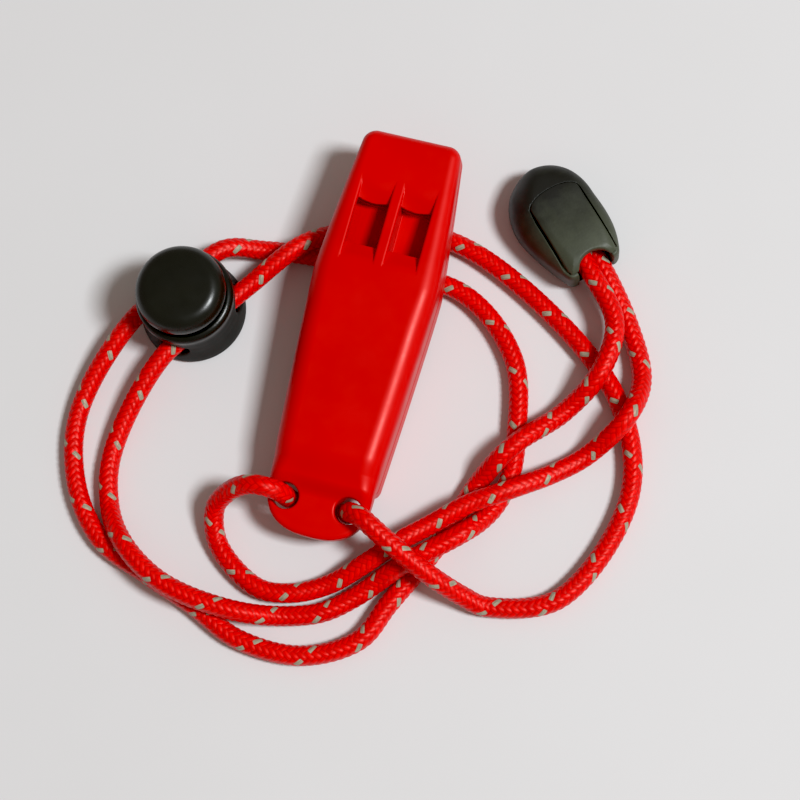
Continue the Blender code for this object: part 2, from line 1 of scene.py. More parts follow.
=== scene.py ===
"""Looks for the flat whistle on its looped braided cord, with its cord lock and end clip.

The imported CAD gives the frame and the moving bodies. Everything seen here is built in it:
moulded pieces as fine meshes of the surface where a distance field is zero, and the cord as
a braided tube along its route. Lengths in fields and constants are in millimetres unless a
name says otherwise, and each piece is put into the row's frame, in metres, as it is made.
"""

import math

import bpy
import numpy as np
from mathutils import Matrix, Vector


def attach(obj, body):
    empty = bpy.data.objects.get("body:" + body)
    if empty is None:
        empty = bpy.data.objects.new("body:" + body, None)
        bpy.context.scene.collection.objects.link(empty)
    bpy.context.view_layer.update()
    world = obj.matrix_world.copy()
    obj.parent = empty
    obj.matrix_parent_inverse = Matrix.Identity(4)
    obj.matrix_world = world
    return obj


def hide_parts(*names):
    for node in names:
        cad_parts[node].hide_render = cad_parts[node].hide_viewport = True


MM = 0.001
BLACK_LEVEL = 0.006
ROOT = "whistle_and_cord"

# Camera: where it stands, the point on the table it looks at, and its turn about the view.
CAMERA_PLACE_M = Vector((0.0545, -0.0764, 0.3285))
CAMERA_TARGET_M = Vector((0.0083, -0.0082, 0.005))
CAMERA_TURN = math.radians(15.19)
CAMERA_LENS = 90.0

# Cord: a braid of 16 strands, 8 each way, each going over two and under two.
CORD_RADIUS = 1.7
BRAID_STRANDS = 8
BRAID_LAY = 9.6
BRAID_RELIEF = 0.13
CORD_STEP = 0.22
CORD_SIDES = 48

# Whistle, in its own level frame: Y along its length, z = 0 at half its thickness.
BODY_TAIL_Y = -26.0
MOUTH_Y = 34.3
HALF_THICK = 5.8
MOUTH_HALF_THICK = 3.2
TAPER_Y = 9.0
TAIL_HALF_WIDTH = 8.8
WIDEST_HALF_WIDTH = 10.7
MOUTH_HALF_WIDTH = 8.3
WALL = 1.6
SEAM_Z = -0.8
SEAM_HALF_GAP = 0.06
RIB_HALF_WIDTH = 0.95
WINDOW_OUTER_X = 6.4
WINDOW_MOUTH_Y = 21.9
LABIUM_START_Y = 11.6
LABIUM_EDGE_Y = 13.4
LABIUM_EDGE_Z = 4.3
CEILING_Z = 3.6
CHAMBER_FLOOR_Z = 0.2
LONG_CHAMBER_Y = -22.0
SHORT_CHAMBER_Y = -16.0
WINDWAY_HALF_HEIGHT = 0.65
SCOOP_LENGTH = 3.0
SCOOP_FLOOR_Z = 3.5
TAB_TIP_Y = -34.9
TAB_HALF_WIDTH = 8.8
TAB_Z = (-0.3, 3.0)
TAIL_DROP = 1.2
TAIL_HOLE = (5.4, -29.2)
TAIL_HOLE_HALF = (2.28, 2.2)
TAIL_REST = 1.2
WHISTLE_TILT = math.radians(5.0)
WHISTLE_SHIFT_Y = 0.34

# Cord lock, about its own upright axis; its local X runs along the strands.
LOCK_CENTRE = (-31.0, -0.7, 0.0)
LOCK_STRAND_ANGLE = math.radians(55.0)
STRAND_OFFSET = 4.2
STRAND_Z = 4.9
STRAND_HOLE_RADIUS = 2.05
STRAND_SLOT_RADIUS = 1.95
LOCK_FLOOR = 0.8
LOCK_BORE_RADIUS = 7.1
LOCK_BARREL_HEIGHT = 10.7
STEM_RADIUS = 6.8
STEM_LOW_Z = 2.25
CAP_RADIUS = 7.6
CAP_LOW_Z = 12.2
CAP_HIGH_Z = 16.1
PLUNGER_TRAVEL = 1.2

# End clip: its own frame has X along the clip towards its mouth.
CLIP_CENTRE = (28.0, 28.0, 0.0)
CLIP_ANGLE = math.radians(-45.0)
CLIP_HEIGHT = 9.0
CLIP_MOUTH_X = 9.2
CLIP_BACK_X = -11.8
CLIP_WIDEST_X = -2.4
CLIP_HALF_WIDTH = 7.35
CLIP_MOUTH_NARROWING = 2.75
CLIP_OFFSET = -0.85
LID_HALF_WIDTH = 4.6
LID_END_X = -6.2
LID_LOW_Z = 7.2
CLIP_FLOOR = 0.9
CLIP_CAVITY_BACK_X = -8.2
CLIP_CAVITY_HALF = 4.1
CLIP_MOUTH_WALL = 1.4
CLIP_MOUTH_MIDDLE = 0.15
CLIP_MOUTH_HALF = 3.25
LID_ARCH_HALF = (2.6, 3.1)
KNOT_X = -4.6
KNOT_Z = 4.0

# The cord's route, the same points as in the part, in metres.
ROUTE_M = (
    (0.0268, 0.0276, 0.0053), (0.0336, 0.0210, 0.0053), (0.0397, 0.0134, 0.0052),
    (0.0395, 0.0046, 0.0056), (0.0352, -0.0030, 0.0028), (0.0293, -0.0102, 0.0054),
    (0.0266, -0.0141, 0.0048), (0.0244, -0.0178, 0.0021), (0.0229, -0.0220, 0.0018),
    (0.0199, -0.0310, 0.0018), (0.0151, -0.0413, 0.0018), (0.0120, -0.0482, 0.0018),
    (0.0036, -0.0531, 0.0018), (-0.0076, -0.0532, 0.0018), (-0.0166, -0.0496, 0.0018),
    (-0.0253, -0.0467, 0.0018), (-0.0348, -0.0430, 0.0018), (-0.0416, -0.0350, 0.0018),
    (-0.0449, -0.0230, 0.0018), (-0.0400, -0.0062, 0.0048), (-0.03444, 0.00171, 0.0049),
    (-0.0290, 0.0094, 0.0048), (-0.0268, 0.0110, 0.0040), (-0.0226, 0.0122, 0.0021),
    (-0.0158, 0.0132, 0.0018), (-0.0060, 0.0135, 0.0018), (0.0136, 0.0130, 0.0018),
    (0.0246, 0.0040, 0.0018), (0.0284, -0.0088, 0.0018), (0.0291, -0.0158, 0.0018),
    (0.0280, -0.0210, 0.0019), (0.0262, -0.0246, 0.0032), (0.0239, -0.0276, 0.0052),
    (0.0214, -0.0300, 0.0055), (0.0186, -0.0325, 0.0054), (0.0154, -0.0353, 0.0047),
    (0.0122, -0.0386, 0.0025), (0.0094, -0.0416, 0.0018), (0.0048, -0.0454, 0.0018),
    (-0.0019, -0.0478, 0.0019), (-0.0085, -0.0490, 0.0044), (-0.0174, -0.0486, 0.0053),
    (-0.0235, -0.0470, 0.0054), (-0.0300, -0.0430, 0.0049), (-0.0350, -0.0370, 0.0020),
    (-0.0372, -0.0280, 0.0018), (-0.0331, -0.0110, 0.0047), (-0.02756, -0.00311, 0.0049),
    (-0.0221, 0.0048, 0.0048), (-0.0149, 0.0140, 0.0056), (-0.0086, 0.0188, 0.0019),
    (0.0070, 0.0218, 0.0018), (0.0220, 0.0170, 0.0018), (0.0430, 0.0016, 0.0018),
    (0.0490, -0.0140, 0.0018), (0.0420, -0.0334, 0.0018), (0.0307, -0.0377, 0.0018),
    (0.0266, -0.0372, 0.0036), (0.0222, -0.0361, 0.0066), (0.0176, -0.0344, 0.0089),
    (0.0124, -0.0320, 0.0104), (0.0082, -0.0299, 0.0109), (0.0061, -0.0292, 0.0092),
    (0.00495, -0.0290, 0.0046), (0.0033, -0.0290, 0.0028), (0.0000, -0.0290, 0.0023),
    (-0.0033, -0.0290, 0.0028), (-0.00495, -0.0289, 0.0046), (-0.00615, -0.0288, 0.0090),
    (-0.0082, -0.0288, 0.0109), (-0.0110, -0.0290, 0.0107), (-0.0143, -0.0303, 0.0081),
    (-0.0169, -0.0334, 0.0044), (-0.0152, -0.0388, 0.0018), (-0.0070, -0.0441, 0.0018),
    (-0.0010, -0.0436, 0.0018), (0.0046, -0.0407, 0.0018), (0.0096, -0.0362, 0.0036),
    (0.0139, -0.0318, 0.0054), (0.0184, -0.0276, 0.0052), (0.0239, -0.0225, 0.0055),
    (0.0304, -0.0181, 0.0054), (0.0360, -0.0136, 0.0028), (0.0406, -0.0092, 0.0022),
    (0.0456, -0.0020, 0.0059), (0.0463, 0.0056, 0.0026), (0.0418, 0.0146, 0.0019),
    (0.0349, 0.0233, 0.0030), (0.0287, 0.0295, 0.0030),
)


def smoothed(points, steps=40):
    """A centripetal Catmull-Rom curve through the points, as many short steps."""
    route = [Vector(p) for p in points]
    route = [2 * route[0] - route[1], *route, 2 * route[-1] - route[-2]]
    curve = []
    for p0, p1, p2, p3 in zip(route, route[1:], route[2:], route[3:]):
        t1 = math.sqrt((p1 - p0).length)
        t2 = t1 + math.sqrt((p2 - p1).length)
        t3 = t2 + math.sqrt((p3 - p2).length)
        for step in range(steps):
            t = t1 + (t2 - t1) * step / steps
            a1 = p0.lerp(p1, t / t1)
            a2 = p1.lerp(p2, (t - t1) / (t2 - t1))
            a3 = p2.lerp(p3, (t - t2) / (t3 - t2))
            b1 = a1.lerp(a2, t / t2)
            b2 = a2.lerp(a3, (t - t1) / (t3 - t1))
            curve.append(b1.lerp(b2, (t - t1) / (t2 - t1)))
    return np.array([*curve, route[-2]])


def respaced(curve, spacing):
    """The curve again, with its points evenly apart."""
    steps = np.linalg.norm(np.diff(curve, axis=0), axis=1)
    along = np.concatenate([[0.0], np.cumsum(steps)])
    at = np.linspace(0.0, along[-1], int(along[-1] / spacing) + 2)
    return np.stack([np.interp(at, along, curve[:, k]) for k in range(3)], axis=1), at


def turning_frames(path):
    """A direction and two sideways ones at each point of the path, with no twist between points."""
    ahead = np.gradient(path, axis=0)
    ahead /= np.linalg.norm(ahead, axis=1)[:, None]
    side = np.cross(ahead[0], (0.0, 0.0, 1.0))
    sides = []
    for direction in ahead:
        side = side - direction * side.dot(direction)
        side = side / np.linalg.norm(side)
        sides.append(side)
    sides = np.array(sides)
    return sides, np.cross(ahead, sides)


def braid_height(along, around):
    """How far the braid stands out, 0 to 1, along (mm) and around (turns) the cord."""
    a = BRAID_STRANDS * (around + along / BRAID_LAY)
    b = BRAID_STRANDS * (around - along / BRAID_LAY)
    i, j = np.floor(a), np.floor(b)
    over = np.mod(i + j, 4) < 2
    across = np.where(over, a - i, b - j)
    lengthwise = np.where(over, np.mod(i + b, 4), np.mod(a + j, 4) - 2) / 2
    crown = np.sin(np.pi * np.clip(across, 0, 1)) ** 0.9
    arch = np.sin(np.pi * np.clip(lengthwise, 0, 1)) ** 0.5
    return crown * arch


def mesh_piece(name, points_m, faces, material, normals):
    mesh = bpy.data.meshes.new(name)
    mesh.from_pydata(points_m.tolist(), [], faces.tolist())
    mesh.shade_smooth()
    mesh.normals_split_custom_set_from_vertices(normals.tolist())
    mesh.materials.append(material)
    piece = bpy.data.objects.new(name, mesh)
    bpy.context.scene.collection.objects.link(piece)
    return piece


def largest(*distances):
    return np.maximum.reduce(np.broadcast_arrays(*distances))


def rounded_meet(a, b, radius):
    """Where two faces meet, as their distances: the outside of a round edge of that radius."""
    a, b = a + radius, b + radius
    return np.minimum(np.maximum(a, b), 0) + np.hypot(np.maximum(a, 0), np.maximum(b, 0)) - radius


def cut_from(solid, hole, soft):
    """The solid less the hole, with the rim between them softened over about that length."""
    hole = -hole
    share = np.clip(0.5 + 0.5 * (solid - hole) / soft, 0, 1)
    return hole + (solid - hole) * share + soft * share * (1 - share)


def joined(a, b, soft):
    """Both solids, with the inner corner between them filled over about that length."""
    share = np.clip(0.5 + 0.5 * (b - a) / soft, 0, 1)
    return b + (a - b) * share - soft * share * (1 - share)


def slopes(field, points, step=0.03):
    """The field's gradient at each point."""
    found = []
    for axis in range(3):
        offset = np.zeros(3)
        offset[axis] = step
        found.append((field(points + offset) - field(points - offset)) / (2 * step))
    return np.stack(found, axis=1)


def zero_surface(field, low, high, cell):
    """The closed surface where the field is zero: a point in each grid cell it crosses, and quads."""
    cell = np.broadcast_to(cell, 3).astype(float)
    axes = [np.arange(a, b + c, c) for a, b, c in zip(low, high, cell)]
    value = field(np.stack(np.meshgrid(*axes, indexing="ij"), axis=-1))
    inside = value < 0
    cells = tuple(n - 1 for n in value.shape)
    total, count, quads = np.zeros((*cells, 3)), np.zeros(cells), []
    for axis in range(3):
        start = tuple(slice(None, -1) if k == axis else slice(None) for k in range(3))
        after = tuple(slice(1, None) if k == axis else slice(None) for k in range(3))
        at = np.argwhere(inside[start] != inside[after])
        first, second = value[start][tuple(at.T)], value[after][tuple(at.T)]
        crossing = at.astype(float)
        crossing[:, axis] += first / (first - second)
        u, v = np.zeros(3, int), np.zeros(3, int)
        u[(axis + 1) % 3], v[(axis + 2) % 3] = -1, -1
        around = [at, at + u, at + u + v, at + v]
        for place in around:
            np.add.at(total, tuple(place.T), crossing)
            np.add.at(count, tuple(place.T), 1)
        ids = np.stack([np.ravel_multi_index(tuple(place.T), cells) for place in around], axis=1)
        outward = first < 0
        quads += [ids[outward], ids[~outward][:, ::-1]]
    used = np.flatnonzero(count)
    number = np.zeros(count.size, int)
    number[used] = np.arange(len(used))
    points = np.array(low) + cell * total.reshape(-1, 3)[used] / count.reshape(-1)[used][:, None]
    furthest = 0.5 * cell.min()
    for _ in range(2):
        slope = slopes(field, points)
        steepness = np.maximum((slope**2).sum(axis=1), 0.2)
        step = np.clip(field(points) / steepness, -furthest, furthest)
        points = points - slope * step[:, None]
    return points, number[np.concatenate(quads)]


def moulded(name, field, low, high, cell, place, material):
    """A moulded piece: its surface, with normals from the field, put where it belongs."""
    points, faces = zero_surface(field, low, high, cell)
    normals = slopes(field, points)
    normals /= np.maximum(np.linalg.norm(normals, axis=1), 1e-9)[:, None]
    turn = np.array(place.to_3x3())
    points = (points @ turn.T + np.array(place.translation)) * MM
    return mesh_piece(name, points, faces, material, normals @ turn.T)


def placed(centre, angle, axis):
    return Matrix.Translation(centre) @ Matrix.Rotation(angle, 4, axis)


# ---- whistle ----


def whistle_half_width(y):
    tailward = np.clip((TAPER_Y - y) / (TAPER_Y - BODY_TAIL_Y), 0, 1.3)
    mouthward = np.clip((y - TAPER_Y) / (MOUTH_Y - TAPER_Y), 0, 1.3)
    to_tail = (TAIL_HALF_WIDTH - WIDEST_HALF_WIDTH) * tailward**1.25
    to_mouth = (MOUTH_HALF_WIDTH - WIDEST_HALF_WIDTH) * mouthward**1.15
    return WIDEST_HALF_WIDTH + to_tail + to_mouth


def whistle_half_thickness(y):
    """Level, then a straight taper to the mouth, with the bend between them softened."""
    along = (y - TAPER_Y) / (MOUTH_Y - TAPER_Y)
    softened = 0.5 * (along + np.sqrt(along**2 + 0.05**2))
    return HALF_THICK + (MOUTH_HALF_THICK - HALF_THICK) * softened


def eased(value, start, end):
    """0 at the start, 1 at the end, level at both."""
    share = np.clip((value - start) / (end - start), 0, 1)
    return share**2 * (3 - 2 * share)


def whistle_block(p):
    """The outer shape: the upper part slopes down into the tail tab, the lower part ends square."""
    x, y, z = np.abs(p[..., 0]), p[..., 1], p[..., 2]
    thick = whistle_half_thickness(y)
    body_plan = rounded_meet(x - whistle_half_width(y), y - MOUTH_Y, 2.1)
    beyond = np.maximum(BODY_TAIL_Y - y, 0) / (BODY_TAIL_Y - TAB_TIP_Y)
    oval = ((x / TAB_HALF_WIDTH) ** 2.6 + beyond**2.6) ** (1 / 2.6) - 1
    upper_plan = np.where(y < BODY_TAIL_Y, oval * TAB_HALF_WIDTH, body_plan)
    to_tab = HALF_THICK - TAIL_DROP - TAB_Z[1]
    top = thick - TAIL_DROP * eased(y, -20, -26) - to_tab * eased(y, -25.2, -28.4)
    front_edge = np.interp(y, (-29.0, -23.0, 2.0, 12.0, MOUTH_Y), (0.7, 3.3, 3.4, 2.9, 1.7))
    upper = rounded_meet(upper_plan, z - top, front_edge)
    upper = rounded_meet(upper, TAB_Z[0] - z, 0.7)
    lower_plan = rounded_meet(body_plan, BODY_TAIL_Y - y, 1.6)
    lower = largest(rounded_meet(lower_plan, -z - thick, 1.7), z - 0.5)
    return np.minimum(upper, lower)


def whistle_air(p):
    """Everything hollow: chambers, windows, scoops and windways, mirrored about the rib."""
    x, y, z = np.abs(p[..., 0]), p[..., 1], p[..., 2]
    width = whistle_half_width(y)
    slot = np.maximum(RIB_HALF_WIDTH - x, x - WINDOW_OUTER_X)
    from_middle = (x - 0.5 * (RIB_HALF_WIDTH + WINDOW_OUTER_X)) / 2.7
    drop_edge = WINDOW_MOUTH_Y + 0.2 - 0.45 * np.clip(1 - from_middle**2, 0, 1)
    tail_end = np.where(p[..., 0] < 0, LONG_CHAMBER_Y, SHORT_CHAMBER_Y)
    ceiling = np.interp(y, (TAPER_Y, TAPER_Y + 2), (HALF_THICK - WALL, CEILING_Z))
    chamber = largest(
        RIB_HALF_WIDTH - x, x - width + WALL, z - ceiling, CHAMBER_FLOOR_Z - z,
        y - drop_edge, tail_end - y,
    )
    run = LABIUM_EDGE_Y - LABIUM_START_Y
    drop = whistle_half_thickness(LABIUM_START_Y) - LABIUM_EDGE_Z
    ramp = -(drop * (y - LABIUM_EDGE_Y) + run * (z - LABIUM_EDGE_Z)) / math.hypot(run, drop)
    window = largest(slot, y - drop_edge, ramp, CEILING_Z - 1 - z, LABIUM_START_Y - 1 - y)
    past = (y - drop_edge) / SCOOP_LENGTH
    face_z = whistle_half_thickness(WINDOW_MOUTH_Y + SCOOP_LENGTH)
    dish = 0.35 * (1 - from_middle**2) * (1 - past)
    scoop_floor = SCOOP_FLOOR_Z + past * (face_z - SCOOP_FLOOR_Z) - dish
    scoop = largest(slot, drop_edge - 0.5 - y, scoop_floor - z)
    windway_middle = 1.95 - 1.6 * (y - WINDOW_MOUTH_Y) / (MOUTH_Y - WINDOW_MOUTH_Y)
    windway = largest(slot, drop_edge - 0.5 - y, np.abs(z - windway_middle) - WINDWAY_HALF_HEIGHT)
    return np.minimum.reduce([chamber, window, scoop, windway])


def tail_holes(p):
    x, y = np.abs(p[..., 0]) - TAIL_HOLE[0], p[..., 1] - TAIL_HOLE[1]
    return (np.hypot(x / TAIL_HOLE_HALF[0], y / TAIL_HOLE_HALF[1]) - 1) * TAIL_HOLE_HALF[0]


def whistle_solid(p):
    return cut_from(cut_from(whistle_block(p), whistle_air(p), 0.45), tail_holes(p), 0.4)


def whistle_front(p):
    return cut_from(whistle_solid(p), p[..., 2] - SEAM_Z - SEAM_HALF_GAP, 0.4)


def whistle_back(p):
    lower = largest(whistle_block(p), BODY_TAIL_Y - p[..., 1])
    return cut_from(lower, SEAM_Z - SEAM_HALF_GAP - p[..., 2], 0.4)


def build_whistle(plastic):
    lift = HALF_THICK * math.cos(WHISTLE_TILT) - (BODY_TAIL_Y + TAIL_REST) * math.sin(WHISTLE_TILT)
    place = placed((0, WHISTLE_SHIFT_Y, lift), WHISTLE_TILT, "X")
    cell = (0.2, 0.26, 0.15)
    front_box = (-11.4, -35.5, -1.5), (11.4, 35.0, 6.5)
    back_box = (-11.4, -27.0, -6.5), (11.4, 35.0, -0.3)
    front = moulded("whistle_front", whistle_front, *front_box, cell, place, plastic)
    back = moulded("whistle_back", whistle_back, *back_box, cell, place, plastic)
    for piece, node in ((front, "whistle_front_shell"), (back, "whistle_back_shell")):
        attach(piece, ROOT)
        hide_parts(node)


# ---- cord lock ----


def strand_holes(p):
    sideways = np.abs(p[..., 1]) - STRAND_OFFSET
    return np.hypot(sideways, p[..., 2] - STRAND_Z) - STRAND_HOLE_RADIUS


def lock_barrel(p):
    out, z = np.hypot(p[..., 0], p[..., 1]), p[..., 2]
    heights = (0, 0.8, 1.8, 3.0, 4.4, 6.0, 7.6, 9.2, 10.7)
    radii = (9.1, 9.1, 9.0, 8.76, 8.48, 8.28, 8.22, 8.34, 8.34)
    skirt = np.interp(z, heights, radii)
    shape = rounded_meet(out - skirt, np.abs(z - LOCK_BARREL_HEIGHT / 2) - LOCK_BARREL_HEIGHT / 2, 1.1)
    bore = np.maximum(out - LOCK_BORE_RADIUS, LOCK_FLOOR - z)
    return cut_from(cut_from(shape, bore, 0.4), strand_holes(p), 0.7)


def lock_plunger(p):
    out, z = np.hypot(p[..., 0], p[..., 1]), p[..., 2]
    dome = CAP_HIGH_Z - 0.008 * out**2
    cap = rounded_meet(out - CAP_RADIUS, z - dome, 2.4)
    cap = rounded_meet(cap, CAP_LOW_Z - z, 0.7)
    stem_radius = np.interp(z, (9.2, 9.6), (STEM_RADIUS, LOCK_BORE_RADIUS - 0.1))
    stem = largest(out - stem_radius, STEM_LOW_Z - z, z - CAP_LOW_Z - 1)
    middle = STRAND_Z + PLUNGER_TRAVEL / 2
    tall = np.maximum(np.abs(z - middle) - PLUNGER_TRAVEL / 2, 0)
    slot = np.hypot(np.abs(p[..., 1]) - STRAND_OFFSET, tall) - STRAND_SLOT_RADIUS
    return cut_from(joined(cap, stem, 0.3), slot, 0.3)


def build_lock(button_plastic, barrel_plastic):
    place = placed(LOCK_CENTRE, LOCK_STRAND_ANGLE, "Z")
    cell = 0.24
    barrel_box = (-10, -10, -0.5), (10, 10, 11.3)
    button_box = (-8.2, -8.2, 1.8), (8.2, 8.2, 16.7)
    barrel = moulded("cord_lock_barrel", lock_barrel, *barrel_box, cell, place, barrel_plastic)
    button = moulded("cord_lock_button", lock_plunger, *button_box, cell, place, button_plastic)
    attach(barrel, ROOT)
    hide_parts("lock_barrel")
    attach(button, "plunger")
    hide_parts("lock_plunger")


# ---- end clip ----


def clip_block(p):
    """The clip's outer shape: round at the back, narrower at the mouth, crowned on top."""
    x, z = p[..., 0], p[..., 2]
    back = np.maximum(CLIP_WIDEST_X - x, 0) / (CLIP_WIDEST_X - CLIP_BACK_X)
    front = np.clip((x - CLIP_WIDEST_X) / (CLIP_MOUTH_X - CLIP_WIDEST_X), 0, 1.1)
    sideways = p[..., 1] - CLIP_OFFSET * (1 - np.minimum(front, 1))
    y = np.abs(sideways)
    oval = (back**2.3 + (y / CLIP_HALF_WIDTH) ** 2) ** 0.5 - 1
    bow = np.where(sideways < 0, 1.6, 2.8)
    flank = (y - CLIP_HALF_WIDTH + CLIP_MOUTH_NARROWING * front**bow) / 1.1
    plan = np.where(x < CLIP_WIDEST_X, oval * CLIP_HALF_WIDTH, flank)
    plan = rounded_meet(plan, x - CLIP_MOUTH_X, 0.8)
    crown = CLIP_HEIGHT - 0.010 * y**2 - 0.012 * np.maximum(-3 - x, 0) ** 2.2
    shoulder = 2.6 + 2.2 * (1 - np.clip(front, 0, 1)) * eased(sideways, 1, -4)
    top = rounded_meet(plan, z - crown + 0.012 * np.maximum(x - 2, 0) ** 2, shoulder)
    return rounded_meet(top, -z, 2.6)


def lid_plan(p, grow):
    """Plan distance to the lid's outline, straight along its sides and arched at its inner end."""
    x, y = p[..., 0], np.abs(p[..., 1])
    half = LID_HALF_WIDTH + grow
    arch_start = LID_END_X + 2.0
    arch = (np.hypot(np.maximum(arch_start - x, 0) / (2.0 + grow), y / half) - 1) * 2.6
    return np.where(x < arch_start, arch, y - half)


def clip_hollow(p):
    x, y, z = p[..., 0], p[..., 1], p[..., 2]
    above_floor = CLIP_FLOOR - z
    cavity = largest(
        CLIP_CAVITY_BACK_X - x, x - CLIP_MOUTH_X + CLIP_MOUTH_WALL, np.abs(y) - CLIP_CAVITY_HALF,
        above_floor, z - LID_LOW_Z,
    )
    mouth = largest(5 - x, np.abs(y - CLIP_MOUTH_MIDDLE) - CLIP_MOUTH_HALF, above_floor)
    return np.minimum(cavity, mouth)


def opening(p):
    """How far the lid's groove is open: nearly closed along the lid's arched end."""
    return np.interp(p[..., 0], (LID_END_X + 0.8, LID_END_X + 4), (0.12, 1.0))


def clip_housing(p):
    gap = opening(p) * np.where(p[..., 1] < 0, 0.34, 0.16)
    recess = np.maximum(lid_plan(p, gap), LID_LOW_Z - 0.3 - p[..., 2])
    return cut_from(cut_from(clip_block(p), recess, 0.05 + 0.2 * opening(p)), clip_hollow(p), 0.3)


def clip_lid(p):
    x, y, z = p[..., 0], p[..., 1], p[..., 2]
    lid = rounded_meet(clip_block(p), lid_plan(p, 0.0), 0.04 + 0.26 * opening(p))
    lid = np.maximum(lid, LID_LOW_Z - z)
    long_half, wide_half = LID_ARCH_HALF
    across = (y - CLIP_MOUTH_MIDDLE) / wide_half
    arch = (np.hypot((x - CLIP_MOUTH_X - 0.1) / long_half, across) - 1) * long_half
    return cut_from(lid, arch, 0.35)


def build_clip(plastic):
    place = placed(CLIP_CENTRE, CLIP_ANGLE, "Z")
    housing_box = (-12.5, -9, -0.5), (10, 7.6, 9.6)
    lid_box = (-7, -5.4, 6.6), (10, 5.4, 9.6)
    housing = moulded("clip_shell", clip_housing, *housing_box, 0.22, place, plastic)
    lid = moulded("clip_cover", clip_lid, *lid_box, 0.2, place, plastic)
    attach(housing, ROOT)
    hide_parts("clip_housing")
    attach(lid, "lid")
    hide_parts("clip_lid")


# ---- cord ----


def braided_tube(name, path, material):
    """A tube of the cord's radius along a path in metres, with the braid standing out of it."""
    sides, ups = turning_frames(path)
    steps = np.linalg.norm(np.diff(path, axis=0), axis=1)
    along = np.concatenate([[0.0], np.cumsum(steps)]) / MM
    around = np.arange(CORD_SIDES) / CORD_SIDES
    relief = braid_height(along[:, None], around[None, :])
    radius = (CORD_RADIUS - BRAID_RELIEF * (1 - relief)) * MM
    angle = 2 * np.pi * around
    ring = np.cos(angle)[None, :, None] * sides[:, None] + np.sin(angle)[None, :, None] * ups[:, None]
    points = (path[:, None] + radius[..., None] * ring).reshape(-1, 3)
    rows, columns = np.meshgrid(np.arange(len(path) - 1), np.arange(CORD_SIDES), indexing="ij")
    beside = (columns + 1) % CORD_SIDES
    corners = ((rows, columns), (rows, beside), (rows + 1, beside), (rows + 1, columns))
    faces = np.stack([r * CORD_SIDES + c for r, c in corners], axis=-1).reshape(-1, 4)
    last = (len(path) - 1) * CORD_SIDES
    ends = [np.arange(CORD_SIDES)[::-1].tolist(), (last + np.arange(CORD_SIDES)).tolist()]
    mesh = bpy.data.meshes.new(name)
    mesh.from_pydata(points.tolist(), [], faces.tolist() + ends)
    mesh.shade_smooth()
    uv = mesh.uv_layers.new(name="braid")
    corner_rows = np.stack([along[r] for r, _ in corners], axis=-1).reshape(-1)
    turns = (columns, columns + 1, columns + 1, columns)
    corner_turns = np.stack([t / CORD_SIDES for t in turns], axis=-1).reshape(-1)
    values = np.zeros((len(mesh.loops), 2))
    values[: len(corner_rows), 0] = corner_rows
    values[: len(corner_rows), 1] = corner_turns
    uv.data.foreach_set("uv", values.reshape(-1))
    mesh.materials.append(material)
    piece = bpy.data.objects.new(name, mesh)
    bpy.context.scene.collection.objects.link(piece)
    return piece


def cord_path():
    curve = smoothed(ROUTE_M)
    curve[:, 2] = np.maximum(curve[:, 2], (CORD_RADIUS + 0.02) * MM)
    return respaced(curve, CORD_STEP * MM)[0]


def build_cord(material):
    path = cord_path()
    cord = braided_tube("braided_cord", path, material)
    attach(cord, ROOT)
    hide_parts("lanyard_cord")


def knot_path():
    """Two turns of the tied ends, pulled tight side by side, in the clip's frame."""
    turn = np.linspace(0, 4 * np.pi, 160)
    x = KNOT_X + 1.2 * np.cos(turn / 4)
    z = KNOT_Z + 0.85 * np.sin(turn)
    in_clip = np.stack([x, 1.85 * np.cos(turn), z], axis=1)
    place = placed(CLIP_CENTRE, CLIP_ANGLE, "Z")
    points = in_clip @ np.array(place.to_3x3()).T + np.array(place.translation)
    return respaced(points * MM, CORD_STEP * MM)[0]


def build_knot(material):
    knot = braided_tube("cord_knot", knot_path(), material)
    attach(knot, ROOT)
    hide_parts("cord_end_knot")


# ---- materials ----


